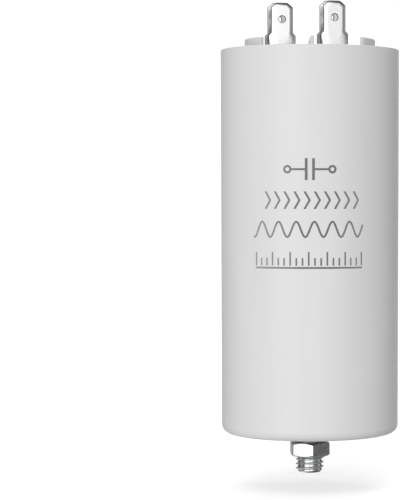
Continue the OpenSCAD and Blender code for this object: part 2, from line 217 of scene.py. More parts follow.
# ---------------------------------------------------------------- materials
class Nodes:
    """A small helper round one material's node tree."""

    def __init__(self, name):
        self.mat = bpy.data.materials.new(name)
        self.mat.use_nodes = True
        self.t = self.mat.node_tree
        self.p = self.t.nodes["Principled BSDF"]
        self.coord = self.t.nodes.new("ShaderNodeTexCoord")

    def set(self, **values):
        for k, v in values.items():
            self.p.inputs[k.replace("_", " ")].default_value = v

    def link(self, a, b):
        self.t.links.new(a, b)

    def where(self, scale=(1, 1, 1), turn=(0, 0, 0)):
        """Object coordinates in millimetres, scaled."""
        m = self.t.nodes.new("ShaderNodeMapping")
        m.inputs["Scale"].default_value = [1000 * s for s in scale]
        m.inputs["Rotation"].default_value = turn
        self.link(self.coord.outputs["Object"], m.inputs["Vector"])
        return m.outputs["Vector"]

    def noise(self, vector, scale, detail=3.0, rough=0.5, distortion=0.0):
        n = self.t.nodes.new("ShaderNodeTexNoise")
        n.inputs["Scale"].default_value = scale
        n.inputs["Detail"].default_value = detail
        n.inputs["Roughness"].default_value = rough
        n.inputs["Distortion"].default_value = distortion
        self.link(vector, n.inputs["Vector"])
        return n.outputs["Fac"]

    def cells(self, vector, scale):
        n = self.t.nodes.new("ShaderNodeTexVoronoi")
        n.inputs["Scale"].default_value = scale
        self.link(vector, n.inputs["Vector"])
        return n.outputs["Distance"]

    def rings(self, vector, scale, distortion=0.0, direction="Z"):
        n = self.t.nodes.new("ShaderNodeTexWave")
        n.wave_type = "RINGS"
        n.rings_direction = direction
        n.inputs["Scale"].default_value = scale
        n.inputs["Distortion"].default_value = distortion
        n.inputs["Detail Scale"].default_value = 2.0
        self.link(vector, n.inputs["Vector"])
        return n.outputs["Fac"]

    def ranged(self, value, low, high, frm=(0.0, 1.0)):
        n = self.t.nodes.new("ShaderNodeMapRange")
        n.inputs["From Min"].default_value, n.inputs["From Max"].default_value = frm
        n.inputs["To Min"].default_value = low
        n.inputs["To Max"].default_value = high
        self.link(value, n.inputs["Value"])
        return n.outputs["Result"]

    def maths(self, kind, a, b):
        n = self.t.nodes.new("ShaderNodeMath")
        n.operation = kind
        for socket, value in zip(n.inputs, (a, b)):
            if isinstance(value, (int, float)):
                socket.default_value = value
            else:
                self.link(value, socket)
        return n.outputs[0]

    def ramp(self, value, *stops):
        n = self.t.nodes.new("ShaderNodeValToRGB")
        n.color_ramp.elements[0].position = stops[0][0]
        n.color_ramp.elements[0].color = (*stops[0][1], 1)
        n.color_ramp.elements[1].position = stops[-1][0]
        n.color_ramp.elements[1].color = (*stops[-1][1], 1)
        for pos, colour in stops[1:-1]:
            n.color_ramp.elements.new(pos).color = (*colour, 1)
        self.link(value, n.inputs["Fac"])
        return n.outputs["Color"]

    def colour(self, value, *stops):
        self.link(self.ramp(value, *stops), self.p.inputs["Base Color"])

    def rough(self, value, low, high, frm=(0.3, 0.7)):
        self.link(self.ranged(value, low, high, frm), self.p.inputs["Roughness"])

    def bumps(self, *layers):
        """Each layer is (height value, depth in millimetres)."""
        normal = None
        for value, depth in layers:
            b = self.t.nodes.new("ShaderNodeBump")
            b.inputs["Strength"].default_value = 1.0
            b.inputs["Distance"].default_value = depth * MM
            self.link(value, b.inputs["Height"])
            if normal is not None:
                self.link(normal, b.inputs["Normal"])
            normal = b.outputs["Normal"]
        self.link(normal, self.p.inputs["Normal"])


def grey(v, warm=0.0):
    return (v * (1 + warm), v, v * (1 - warm))


def moulded(name, light, dark, rough, grain=0.006, warm=0.004):
    """Satin moulded plastic: faint flow clouds and streaks, fine grain and a long, low waviness."""
    n = Nodes(name)
    flow = n.noise(n.where((1, 1, 0.35)), 0.055, 3.0, 0.55, 0.6)
    streak = n.noise(n.where((1, 1, 0.04)), 0.5, 2.0)
    mixed = n.maths("ADD", n.maths("MULTIPLY", flow, 0.7), n.maths("MULTIPLY", streak, 0.3))
    n.colour(mixed, (0.30, grey(dark, warm)), (0.70, grey(light, warm)))
    n.rough(n.noise(n.where(), 0.4, 4.0), *rough)
    n.bumps(
        (n.noise(n.where(), 0.09, 1.0), 0.035),
        (n.noise(n.where(), 2.2, 3.0, 0.6), grain),
    )
    n.set(IOR=1.49, Diffuse_Roughness=0.45)
    return n.mat


def plated(name, light, dark, rough, along, grain, mottle=0.5, warm=0.0):
    """Bright plated metal: fine lines from rolling or turning, and a soft mottle in the plating."""
    n = Nodes(name)
    cloud = n.noise(n.where(), mottle, 4.0, 0.55)
    lines = n.noise(n.where(along), 1.0, 3.0, 0.6)
    n.colour(cloud, (0.25, grey(dark, warm)), (0.75, grey(light, warm)))
    both = n.maths("ADD", n.maths("MULTIPLY", cloud, 0.5), n.maths("MULTIPLY", lines, 0.5))
    n.rough(both, *rough)
    n.bumps((lines, grain), (n.noise(n.where(), 0.9, 2.0), grain * 2))
    n.set(Metallic=1.0)
    return n.mat


case_plastic = moulded("case_plastic", 0.80, 0.77, (0.36, 0.46))
lid_plastic = moulded("lid_plastic", 0.79, 0.75, (0.42, 0.54), 0.008)
tinned_brass = plated("tinned_brass", 0.87, 0.81, (0.17, 0.26), (9, 9, 0.5), 0.0012, 0.5, 0.005)
# dark metal for the blades' cut edges: partly duller cut metal, partly painted shade along the edges
cut_edge_and_painted_shade = plated("cut_edge_and_painted_shade", 0.30, 0.22, (0.28, 0.40), (2, 2, 2), 0.002, 0.35, 0.012)
# darker metal for the nut's top chamfer and washer face: painted shade under the can
nut_top_painted_shade = plated("nut_top_painted_shade", 0.34, 0.26, (0.24, 0.34), (2, 2, 6), 0.0015, 0.5, -0.004)
zinc_steel = plated("zinc_steel", 0.80, 0.72, (0.18, 0.30), (2, 2, 6), 0.0015, 0.8, -0.008)


def print_ink():
    n = Nodes("print_ink")
    patchy = n.noise(n.where(), 0.7, 3.0)
    sep = n.t.nodes.new("ShaderNodeSeparateXYZ")
    n.link(n.coord.outputs["Object"], sep.inputs[0])
    # the ink lies thinner towards the ends of the rows
    off_middle = n.maths("ABSOLUTE", n.maths("SUBTRACT", sep.outputs["X"], 0.0015), 0.0)
    away = n.ranged(off_middle, 0.0, 0.8, (0.004, 0.016))
    total = n.maths("ADD", away, n.maths("MULTIPLY", patchy, 0.3))
    n.colour(total, (0.0, grey(0.13)), (1.0, grey(0.36)))
    n.rough(patchy, 0.5, 0.62)
    n.bumps((n.noise(n.where(), 3.0, 2.0), 0.003))
    return n.mat


def solder():
    n = Nodes("solder")
    n.colour(n.noise(n.where(), 0.8), (0.3, grey(0.55)), (0.7, grey(0.70)))
    n.rough(n.noise(n.where(), 1.5), 0.30, 0.48)
    n.bumps((n.noise(n.where(), 1.2, 3.0), 0.02))
    n.set(Metallic=1.0)
    return n.mat


def sprayed_zinc():
    n = Nodes("sprayed_zinc")
    grain = n.noise(n.where(), 3.2, 5.0, 0.7)
    n.colour(grain, (0.3, grey(0.30, -0.02)), (0.7, grey(0.56, -0.02)))
    n.rough(grain, 0.55, 0.8)
    n.bumps((grain, 0.08), (n.cells(n.where(), 1.6), 0.05))
    n.set(Metallic=0.85)
    return n.mat


def film():
    n = Nodes("film")
    turns = n.rings(n.where(), 2.4, 0.4)
    n.colour(turns, (0.2, grey(0.42, 0.01)), (0.8, grey(0.68, 0.01)))
    n.rough(turns, 0.22, 0.4)
    n.bumps((turns, 0.02))
    n.set(Metallic=0.35)
    return n.mat


def wrap_film():
    n = Nodes("wrap_film")
    crease = n.noise(n.where((1, 1, 0.15)), 0.35, 3.0, 0.5, 1.0)
    n.colour(crease, (0.3, (0.72, 0.62, 0.36)), (0.7, (0.84, 0.77, 0.55)))
    n.rough(crease, 0.14, 0.26)
    n.bumps((crease, 0.06))
    return n.mat


def resin():
    n = Nodes("resin")
    swirl = n.noise(n.where(), 0.12, 4.0, 0.55, 1.2)
    n.colour(swirl, (0.3, (0.55, 0.49, 0.39)), (0.7, (0.68, 0.62, 0.52)))
    n.rough(n.noise(n.where(), 0.5), 0.16, 0.34)
    bubbles = n.ramp(n.cells(n.where(), 0.45), (0.0, grey(0.0)), (0.12, grey(1.0)))
    n.bumps((bubbles, 0.12), (n.noise(n.where(), 0.2), 0.1))
    return n.mat


def sleeving():
    n = Nodes("sleeving")
    ribs = n.noise(n.where((1, 1, 4)), 1.2, 2.0)
    n.colour(ribs, (0.3, grey(0.030)), (0.7, grey(0.055)))
    n.rough(ribs, 0.36, 0.52)
    n.bumps((ribs, 0.02))
    return n.mat


solder_metal, zinc_spray, film_metal, film_wrap = solder(), sprayed_zinc(), film(), wrap_film()
resin_poured, sleeve_plastic, ink = resin(), sleeving(), print_ink()
inner_plastic = moulded("inner_plastic", 0.74, 0.68, (0.45, 0.6), 0.008, 0.02)
tinned_copper = plated("tinned_copper", 0.80, 0.70, (0.22, 0.34), (4, 4, 1), 0.002, 1.0, 0.015)

for names, material in (
    (("base_spacer", "winding_core"), inner_plastic),
    (("film_winding",), film_metal),
    (("bottom_end_spray", "top_end_spray"), zinc_spray),
    (("outer_wrap",), film_wrap),
    (("lead_long", "lead_short"), tinned_copper),
    (("sleeve_long", "sleeve_short"), sleeve_plastic),
    (("solder_bottom_spray", "solder_top_spray", "solder_left", "solder_right"), solder_metal),
    (("potting_resin",), resin_poured),
    (("solder_tag_left", "solder_tag_right"), tinned_brass),
):
    for name in names:
        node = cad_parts[name]
        node.data.materials.clear()
        node.data.materials.append(material)


# ---------------------------------------------------------------- can
def case():
    n = 288
    a = np.arange(n) * TAU / n
    # a hexagon's radius at each angle, with its corners at multiples of 60 degrees
    hexagon = HEAD_AF / 2 / np.cos((a % (math.pi / 3)) - math.pi / 6)
    lean = math.degrees(LEAN)
    bore_top, bore_foot = MOUTH_R - 0.5, RB - 1.8
    profile = [(0.0, HEAD_Z + HEAD_T), (hexagon * 0.5, HEAD_Z + HEAD_T), (hexagon, HEAD_Z + HEAD_T), (hexagon, HEAD_Z)]
    profile += [(GRIP_R, HEAD_Z), (GRIP_R, RECESS_T + 0.15), (GRIP_R + 0.15, RECESS_T)]
    profile += [(6.5, RECESS_T), (RECESS_R - 0.15, RECESS_T)]
    profile += arc(RECESS_R - 0.15, RECESS_T - 0.15, 0.15, 90, 0, 4)[1:]
    profile += arc(RECESS_R + 0.15, 0.15, 0.15, 180, 270, 4)[1:]
    profile += [(13.0, 0.0), (18.0, 0.0)]
    profile += arc(FOOT_X, FOOT_ROUND, FOOT_ROUND, 270, 360 - lean, 18)
    wall = lambda z: RB + (RT - RB) * z / CAN_H
    profile += [(wall(z), z) for z in np.linspace(4, 105.6, 24)]
    profile += [(wall(106.3), 106.3)] + arc(RT - 0.32 * (1 + (RT - RB) / CAN_H), CAN_H - 0.32, 0.32, -lean, 90, 9)
    profile += arc(MOUTH_R + 0.4, CAN_H - 0.4, 0.4, 90, 180, 7)
    profile += [(MOUTH_R, 105.2), (MOUTH_R, LEDGE_Z), (bore_top, LEDGE_Z)]
    profile += [(bore_top + (bore_foot - bore_top) * t, LEDGE_Z + (FLOOR_T + 0.6 - LEDGE_Z) * t) for t in np.linspace(0.02, 1, 8)]
    profile += arc(bore_foot - 0.6, FLOOR_T + 0.6, 0.6, 0, -90, 5)[1:]
    profile += [(15.0, FLOOR_T), (BOSS_R, FLOOR_T), (BOSS_R, BOSS_H), (5.0, BOSS_H), (0.0, BOSS_H)]
    s = Shell()
    lathe(s, profile, n)
    return piece("can", s, case_plastic, ["case"])


case()


# ---------------------------------------------------------------- lid
def band_outline(radius, half, a0, a1, inset, n=48, fan=5):
    """Points and outward normals round an arch seen from above, drawn in by inset."""
    r_out, r_in = radius + half - inset, radius - half + inset
    a0, a1 = a0 + inset / radius, a1 - inset / radius
    points, normals = [], []
    radial = lambda a: np.array([math.cos(a), math.sin(a)])
    tangent = lambda a: np.array([-math.sin(a), math.cos(a)])
    for a in np.linspace(a0, a1, n):
        points.append(radial(a) * r_out)
        normals.append(radial(a))
    for t in np.linspace(0, math.pi / 2, fan)[1:]:
        points.append(radial(a1) * r_out)
        normals.append(radial(a1) * math.cos(t) + tangent(a1) * math.sin(t))
    for t in np.linspace(0, math.pi / 2, fan):
        points.append(radial(a1) * r_in)
        normals.append(tangent(a1) * math.cos(t) - radial(a1) * math.sin(t))
    for a in np.linspace(a1, a0, n)[1:]:
        points.append(radial(a) * r_in)
        normals.append(-radial(a))
    for t in np.linspace(0, math.pi / 2, fan)[1:]:
        points.append(radial(a0) * r_in)
        normals.append(-radial(a0) * math.cos(t) - tangent(a0) * math.sin(t))
    for t in np.linspace(0, math.pi / 2, fan)[:-1]:
        points.append(radial(a0) * r_out)
        normals.append(-tangent(a0) * math.cos(t) + radial(a0) * math.sin(t))
    return np.array(points), np.array(normals)


def box_outline(cx, cy, w, l, turn, inset, fan=5, along=6):
    """Points and outward normals round a rectangle seen from above, drawn in by inset."""
    hw, hl = w / 2 - inset, l / 2 - inset
    points, normals = [], []
    corners = [(hw, hl), (-hw, hl), (-hw, -hl), (hw, -hl)]
    for k, (x, y) in enumerate(corners):
        start = k * math.pi / 2
        for t in np.linspace(0, math.pi / 2, fan):
            points.append((x, y))
            normals.append((math.cos(start + t), math.sin(start + t)))
        nx, ny = corners[(k + 1) % 4]
        side = start + math.pi / 2
        for t in np.linspace(0, 1, along + 2)[1:-1]:
            points.append((x + (nx - x) * t, y + (ny - y) * t))
            normals.append((math.cos(side), math.sin(side)))
    c, s = math.cos(turn), math.sin(turn)
    m = np.array([[c, s], [-s, c]])
    return np.array(points) @ m + (cx, cy), np.array(normals) @ m


def raised(shell, outline, inset, base, top, fillet, rounding):
    """A rib that stands on a flat face, with a fillet at its root and a rounded top. Returns its root's loop."""
    points, normals = outline
    levels = []
    for t in np.linspace(0, 90, 6):
        t = math.radians(t)
        levels.append((inset + fillet * (1 - math.sin(t)), base + fillet * (1 - math.cos(t))))
    levels.append((inset, base + fillet + 0.4 * (top - rounding - base - fillet)))
    for t in np.linspace(0, 90, 7):
        t = math.radians(t)
        levels.append((inset - rounding * (1 - math.cos(t)), top - rounding * (1 - math.sin(t))))
    loops = []
    for d, z in levels:
        flat = points + normals * d
        loops.append(shell.loop(np.column_stack([flat, np.full(len(flat), z)])))
    shell.strips(loops)
    shell.cap(loops[-1])
    return loops[0]


def lid():
    s = Shell()
    n = 256
    top = LID_Z + 4.9
    roots = []
    turn = math.radians(2.85)
    front, rear = math.radians(100.5 / 2), math.radians(130 / 2)
    for a0, a1 in ((-math.pi / 2 + front, math.pi / 2 - rear), (math.pi / 2 + rear, math.pi * 1.5 - front)):
        outline = band_outline(17.7, 0.6, turn + a0, turn + a1, 0.36)
        roots.append(raised(s, outline, 0.36, LID_Z, top, 0.3, 0.35))
    roots.append(raised(s, box_outline(0.23, 0, 1.06, 33.4, math.radians(1.2), 0.3, along=24), 0.3, LID_Z, top, 0.14, 0.28))
    for x, y in (LEFT, RIGHT):
        for k in (-1, 1):
            px = x + k * 4.45 * math.cos(TURN)
            py = y + k * 4.45 * math.sin(TURN)
            roots.append(raised(s, box_outline(px, py, 0.6, 4.2, TURN, 0.18), 0.18, LID_Z, LID_Z + 1.2, 0.08, 0.16))
    # the gate mark that the moulding left
    gate = []
    for r, z in ((1.5, 0.0), (1.42, 0.06), (1.3, 0.08), (0.9, 0.03), (0.55, 0.05), (0.4, 0.0)):
        p = ring(r, LID_Z - z if r > 0.8 else LID_Z - 0.08 + z, 32)
        p[:, 1] += 19.9
        gate.append(s.loop(p))
    s.strips(gate)
    s.fan(s.point((0, 19.9, LID_Z - 0.03)), gate[-1])
    roots.append(gate[0])
    holes_top, holes_low = [], []
    for x, y in (LEFT, RIGHT):
        walls = []
        for r, z in ((1.2, LID_Z), (1.12, LID_Z - 0.08), (1.12, LEDGE_Z + 0.08), (1.2, LEDGE_Z)):
            p = ring(r, z, 40)
            p[:, 0] += x
            p[:, 1] += y
            walls.append(s.loop(p))
        s.strips(walls)
        holes_top.append(walls[0])
        holes_low.append(walls[-1])
    rim = [(MOUTH_R - 0.45, LID_Z)] + arc(MOUTH_R - 0.35, LID_Z - 0.3, 0.3, 90, 0, 6)
    rim += [(MOUTH_R - 0.05, LEDGE_Z + 0.2), (MOUTH_R - 0.25, LEDGE_Z)]
    rim += [(22.9, LEDGE_Z)] + arc(22.8, LEDGE_Z - 0.2, 0.2, 90, 180, 4) + [(22.6, 100.8)]
    rim += [(22.4, 100.6), (21.4, 100.6), (21.2, 100.8), (21.2, LEDGE_Z - 0.2), (21.0, LEDGE_Z)]
    loops = [s.loop(ring(r, z, n)) for r, z in rim]
    s.strips(loops)
    s.cap(loops[0], roots + holes_top)
    s.cap(loops[-1], holes_low)
    return piece("lid_moulding", s, lid_plastic, ["lid"])


lid()


# ---------------------------------------------------------------- terminals
def terminal(name, node, at):
    """A strip stamped flat, with rolled edges and three holes, then folded into a channel."""
    lid_up = LID_Z
    top, rise, gap, t2 = 15.5, 0.3, 4.4, 0.4
    bend_r, bend_y, bend_z = 0.6, 1.6, 1.0
    leg1, turn_l, web = top - bend_z, bend_r * math.pi / 2, 2 * bend_y
    leg2 = top + rise - bend_z
    total = leg1 + 2 * turn_l + web + leg2
    marks = [leg1, leg1 + turn_l, leg1 + turn_l + web, leg1 + 2 * turn_l + web]
    # the flat blank's right-hand edge, from the front tip to the rear tip: (half width, distance along)
    side = [(1.6, 0.0), (3.2, 1.3), (3.2, top - 7.1), (4.05, top - 6.25)]
    side += [(4.05, total - (top + rise) + 6.25), (3.2, total - (top + rise) + 7.1), (3.2, total - 1.3), (1.6, total)]
    stops = sorted(
        set(np.round(np.concatenate([
            np.linspace(marks[0], marks[1], 8), np.linspace(marks[2], marks[3], 8),
            np.arange(1.8, marks[0] - 0.2, 0.9), np.arange(marks[1] + 0.5, marks[2] - 0.2, 0.9),
            np.arange(marks[3] + 0.4, total - 1.6, 0.9),
        ]), 4))
    )
    edge = []
    for (w0, s0), (w1, s1) in zip(side[:-1], side[1:]):
        edge.append((w0, s0))
        if s1 > s0:
            for m in stops:
                if s0 + 0.95 < m < s1 - 0.95:
                    edge.append((w0 + (w1 - w0) * (m - s0) / (s1 - s0), m))
    edge.append(side[-1])
    outline = np.array([(w, s) for w, s in edge] + [(-w, s) for w, s in reversed(edge)])
    # corner directions for drawing the outline in
    d = np.roll(outline, -1, 0) - outline
    d /= np.hypot(d[:, 0], d[:, 1])[:, None]
    normal = np.column_stack([-d[:, 1], d[:, 0]])  # inwards, as the outline runs counter-clockwise
    before = np.roll(normal, 1, 0)
    mitre = (normal + before) / (1 + np.sum(normal * before, 1))[:, None]
    sh = Shell()

    def level(inset, t):
        flat = outline + mitre * inset
        return sh.loop(np.column_stack([flat, np.full(len(flat), t)]))

    # the rolled margin, the coined bevel along the edge, the sheared side and the inner side's small bevel
    outer = [(1.27, 0.4), (1.15, 0.4), (0.98, 0.394), (0.8, 0.376), (0.63, 0.340), (0.49, 0.285), (0.37, 0.208), (0.25, 0.110)]
    outer += [(0.13, 0.0), (0.05, -0.075), (0.015, -0.11), (0.0, -0.14)]
    inner = [(0.0, -0.20), (0.02, -0.24), (0.08, -0.30), (0.18, -0.375), (0.22, -0.393), (0.28, -0.4), (0.4, -0.4)]
    loops = [level(i, t) for i, t in outer + inner]
    sh.strips(loops)
    holes_out, holes_in = [], []
    for s_at, r in ((4.68, 0.95), (total / 2, 1.1), (total - 4.68, 0.95)):
        walls = []
        for dr, t in ((0.27, 0.4), (0.17, 0.4), (0.14, 0.392), (0.12, 0.37), (0.02, 0.26), (0.0, 0.23), (0.0, -0.27), (0.02, -0.3), (0.1, -0.38), (0.14, -0.4), (0.24, -0.4)):
            p = ring(r + dr, t, 40)
            p[:, 1] += s_at
            walls.append(sh.loop(p))
        sh.strips(walls)
        holes_out.append(walls[0])
        holes_in.append(walls[-1])
    xs = np.arange(-3.6, 3.61, 0.9)
    grid = np.array([(x, m) for m in stops for x in xs])
    for loop, holes, t in ((loops[0], holes_out, 0.4), (loops[-1], holes_in, -0.4)):
        # lines across the strip at each bend step, so that the bends come out smooth
        rows = {}
        for i in loop:
            rows.setdefault(round(sh.v[i][1], 4), []).append(i)
        lines = [
            tuple(r) for key, r in rows.items()
            if len(r) == 2 and (marks[0] - 1e-3 <= key <= marks[1] + 1e-3 or marks[2] - 1e-3 <= key <= marks[3] + 1e-3)
        ]
        clear = grid[[not (marks[0] - 1e-3 <= g[1] <= marks[1] + 1e-3 or marks[2] - 1e-3 <= g[1] <= marks[3] + 1e-3) for g in grid]]
        sh.cap(loop, holes, t, clear, lines)
    # the wings at the foot roll gently back into the channel
    v = np.array(sh.v)
    wing = np.clip((np.abs(v[:, 0]) - 2.3) / 1.75, 0, 1) ** 2
    foot = np.clip((np.minimum(v[:, 1], total - v[:, 1]) - (top - 7.0)) / 1.2, 0, 1)
    foot *= np.clip((marks[0] + 0.4 - np.minimum(v[:, 1], total - v[:, 1])) / 1.2, 0, 1)
    roll = 0.3 * wing * foot
    # the blank is folded: x across, s along the strip, t out from its middle
    x, s, t = v[:, 0], v[:, 1], v[:, 2].copy()
    end = np.minimum(s, total - s)
    thin = 0.2 + 0.25 * np.clip(end, 0, 0.8)
    t = np.clip(t, -thin, thin) - roll
    y, z = np.zeros_like(s), np.zeros_like(s)
    a = s < marks[0]
    y[a], z[a] = -gap / 2 - t[a], top - s[a]
    a = (s >= marks[0]) & (s < marks[1])
    q = (s[a] - marks[0]) / bend_r
    y[a], z[a] = -bend_y - (bend_r + t[a]) * np.cos(q), bend_z - (bend_r + t[a]) * np.sin(q)
    a = (s >= marks[1]) & (s < marks[2])
    y[a], z[a] = s[a] - marks[1] - bend_y, t2 - t[a]
    a = (s >= marks[2]) & (s < marks[3])
    q = (s[a] - marks[2]) / bend_r
    y[a], z[a] = bend_y + (bend_r + t[a]) * np.sin(q), bend_z - (bend_r + t[a]) * np.cos(q)
    a = s >= marks[3]
    y[a], z[a] = gap / 2 + t[a], bend_z + s[a] - marks[3]
    c, sn = math.cos(TURN), math.sin(TURN)
    sh.v = np.column_stack([at[0] + x * c - y * sn, at[1] + x * sn + y * c, lid_up + z]).tolist()
    blades = piece(name, sh, tinned_brass, [node], sharp=40)
    # the bevels, the sheared side and the holes' walls get a dark metal: partly the duller cut metal, partly painted
    # shade that outlines the blades
    blades.data.materials.append(cut_edge_and_painted_shade)
    around = len(outline)
    for f in blades.data.polygons[7 * around:16 * around]:
        f.material_index = 1
    for h in range(3):
        start = (len(loops) - 1) * around + h * (len(walls) - 1) * 40
        for f in blades.data.polygons[start + 40:start + (len(walls) - 2) * 40]:
            f.material_index = 1
    return blades


terminal("blades_left", "terminal_left", LEFT)
terminal("blades_right", "terminal_right", RIGHT)


def rivet(name, node, at):
    s = Shell()
    tag = LEDGE_Z - 0.5
    profile = [(0.0, 106.5)] + [(r, 104.3 + math.sqrt(2.2**2 - r * r)) for r in (0.35, 0.7, 1.0, 1.25, 1.42)]
    profile += [(1.49, 105.92), (1.5, 105.88), (1.48, 105.82), (1.42, 105.8), (1.1, 105.8), (1.1, tag)]
    profile += [(1.45, tag - 0.0), (1.75, tag - 0.08), (1.86, tag - 0.25), (1.84, tag - 0.42), (1.7, tag - 0.55), (1.45, tag - 0.6)]
    profile += [(1.1, tag - 0.52), (0.85, tag - 0.3), (0.7, tag), (0.65, tag + 0.3), (0.65, tag + 1.2), (0.5, tag + 1.4), (0.0, tag + 1.5)]
    lathe(s, profile, 64, at)
    return piece(name, s, tinned_brass, [node], sharp=40)


rivet("rivet_head_left", "rivet_left", LEFT)
rivet("rivet_head_right", "rivet_right", RIGHT)


# ---------------------------------------------------------------- stud, washer and nut
def thread(phase, flat=0.125, root=0.25, soft=0.030):
    """Height of the thread, from 0 at its root to 1 at its crest, for a phase that is 0 at the crest."""
    k = np.linspace(-0.5, 0.5, 1025)
    h = 1 - np.clip((np.abs(k) - flat / 2) / (0.5 - flat / 2 - root / 2), 0, 1)
    w = np.exp(-0.5 * (np.linspace(-0.1, 0.1, 205) / soft) ** 2)
    h = np.convolve(np.concatenate([h[-205:-1], h, h[1:205]]), w / w.sum(), "same")[204:-204]
    p = (phase + 0.5) % 1.0 - 0.5
    return np.interp(p, k, h)


PHASE = 0.442
DEPTH = 0.68


def thread_radius(angle, z, major=THREAD_R):
    return major - DEPTH * (1 - thread(z / PITCH - angle / TAU - PHASE))


def stud():
    s = Shell()
    n = 144
    a = np.arange(n) * TAU / n
    hexagon = HEAD_AF / 2 / np.cos((a % (math.pi / 3)) - math.pi / 6)
    loops = []
    for r in (3.0, 5.5):
        loops.append(s.loop(ring(r * np.ones(n), HEAD_Z + HEAD_T, n)))
    top_c = s.point((0, 0, HEAD_Z + HEAD_T))
    r0 = HEAD_AF / 2 - 0.2
    z_top = HEAD_Z + HEAD_T - (hexagon - r0) * 0.5
    loops.append(s.loop(ring(r0, HEAD_Z + HEAD_T, n)))
    loops.append(s.loop(ring(hexagon, z_top, n)))
    loops.append(s.loop(ring(hexagon, HEAD_Z, n)))
    for r, z in ((GRIP_R + 0.3, HEAD_Z), (GRIP_R, HEAD_Z), (GRIP_R, HEAD_Z - 0.4), (GRIP_R, 0.25)):
        loops.append(s.loop(ring(r, z, n)))
    # the thread runs out just under the can's floor and is cut back by the chamfer at the tip
    start = 0.2
    for z in np.arange(start, STUD_END + 0.10, -PITCH / 26):
        blend = min(1.0, (start - z) / 0.9)
        r = GRIP_R + (thread_radius(a, z) - GRIP_R) * blend
        lead = THREAD_R - 1.0 + (z - STUD_END) * 1.0
        r = np.minimum(r, lead)
        loops.append(s.loop(ring(r, z, n)))
    z = STUD_END + 0.04
    r = np.minimum(thread_radius(a, z), THREAD_R - 1.0 + 0.03)
    loops.append(s.loop(ring(r, z, n)))
    for shrink, z in ((0.04, STUD_END + 0.01), (0.10, STUD_END), (1.5, STUD_END)):
        loops.append(s.loop(ring(np.minimum(r, r - shrink), z, n)))
    low_c = s.point((0, 0, STUD_END))
    s.strips(loops)
    s.fan(top_c, loops[0])
    s.fan(low_c, loops[-1])
    return piece("threaded_stud", s, zinc_steel, ["mounting_stud"], sharp=50, weighted=False)


stud()


def washer():
    s = Shell()
    top, low = 0.4, -1.2
    profile = arc(4.2 + 0.12, top - 0.12, 0.12, 180, 90, 4) + [(5.5, top), (7.0, top)]
    profile += arc(8.0 - 0.32, top - 0.32, 0.32, 90, 0, 7) + [(8.0, low + 0.1), (7.94, low)]
    profile += [(7.0, low), (5.5, low)] + arc(4.2 + 0.06, low + 0.06, 0.06, 270, 180, 3)
    lathe(s, profile, 160)
    return piece("flat_washer", s, zinc_steel, ["washer"])


washer()


def nut():
    s = Shell()
    corner = 0.3  # radius of the corners
    half = NUT_AF / 2
    offsets = np.array([-30, -26, -22, -18, -14, -11, -8.5, -6.5, -5, -4, -3.2, -2.5, -1.9, -1.3, -0.65, 0])
    sector = np.concatenate([offsets, -offsets[::-1][1:-1]])
    a = np.radians(np.concatenate([NUT_TURN + 60 * k + sector for k in range(6)]))
    n = len(a)
    psi = (a - math.radians(NUT_TURN) + math.pi / 6) % (math.pi / 3) - math.pi / 6  # from the nearest corner
    phi = math.pi / 6 - np.abs(psi)  # from the nearest face's middle
    flat = half / np.cos(phi)
    centre = (half - corner) / math.cos(math.pi / 6)
    root = corner**2 - (centre * np.sin(psi)) ** 2
    curved = centre * np.cos(psi) + np.sqrt(np.maximum(root, 0))
    touch = math.atan2(centre * math.sin(math.pi / 6), half)  # angle from the face's middle where the corner's round begins
    hexagon = np.where(phi < touch, flat, curved)

    def points(r, z):
        r, z = np.broadcast_to(r, n), np.broadcast_to(z, n)
        return np.stack([r * np.cos(a), r * np.sin(a), z], 1)

    face_r = NUT_FACE_R
    slope = math.tan(math.radians(30))
    loops = []

    def chamfer(z_face, up):
        """From the flat face out to the hexagon, with the arcs that a 30 degree cut leaves on each side."""
        reach = (hexagon - face_r) * slope
        out = [points(face_r, z_face)]
        for t in (0.25, 0.5, 0.75):
            out.append(points(face_r + (hexagon - face_r) * t, z_face + up * reach * t))
        out.append(points(hexagon - 0.11, z_face + up * (reach - 0.11 * slope)))
        out.append(points(hexagon - 0.05, z_face + up * (reach + 0.0)))
        out.append(points(hexagon - 0.015, z_face + up * (reach + 0.05)))
        out.append(points(hexagon, z_face + up * (reach + 0.13)))
        return out

    section = [points(face_r - 0.4, NUT_LOW), points(face_r - 0.08, NUT_LOW)] + chamfer(NUT_LOW, 1)
    section += [points(hexagon, NUT_LOW + (NUT_HEX_TOP - NUT_LOW) * t) for t in (0.35, 0.5, 0.65)]
    section += chamfer(NUT_HEX_TOP, -1)[::-1]
    # the round washer face above the hexagon
    section += [points(face_r - 0.02, NUT_HEX_TOP + 0.06), points(face_r - 0.35, NUT_TOP - 0.14)]
    section += [points(face_r - 0.41, NUT_TOP - 0.04), points(face_r - 0.5, NUT_TOP)]
    # countersinks and the thread inside
    for z in np.concatenate([[NUT_TOP], np.arange(NUT_TOP - 0.02, NUT_LOW + 0.01, -PITCH / 20), [NUT_LOW]]):
        r = thread_radius(a, z) + 0.05
        r = np.maximum(np.minimum(r, THREAD_R + 0.05), 3.42)
        sink = 4.25 - 1.05 * min(z - NUT_LOW, NUT_TOP - z)
        r = np.maximum(r, sink)
        section.append(points(r, z))
    loops = [s.loop(p) for p in section]
    s.strips(loops)
    s.strip(loops[-1], loops[0])
    nut_piece = piece("hexagon_nut", s, zinc_steel, ["hex_nut"], sharp=38)
    # the chamfer and washer face on top get a much darker metal: painted shade from the can's bottom above them
    nut_piece.data.materials.append(nut_top_painted_shade)
    for f in nut_piece.data.polygons[13 * n:24 * n]:
        f.material_index = 1
    return nut_piece


nut()


# ---------------------------------------------------------------- print
def dense(points, step=0.45):
    points = [np.array(p, float) for p in points]
    out = []
    for p, q in zip(points, points[1:] + points[:1]):
        k = max(1, int(math.ceil(np.hypot(*(q - p)) / step)))
        out += [p + (q - p) * i / k for i in range(k)]
    return np.array(out)


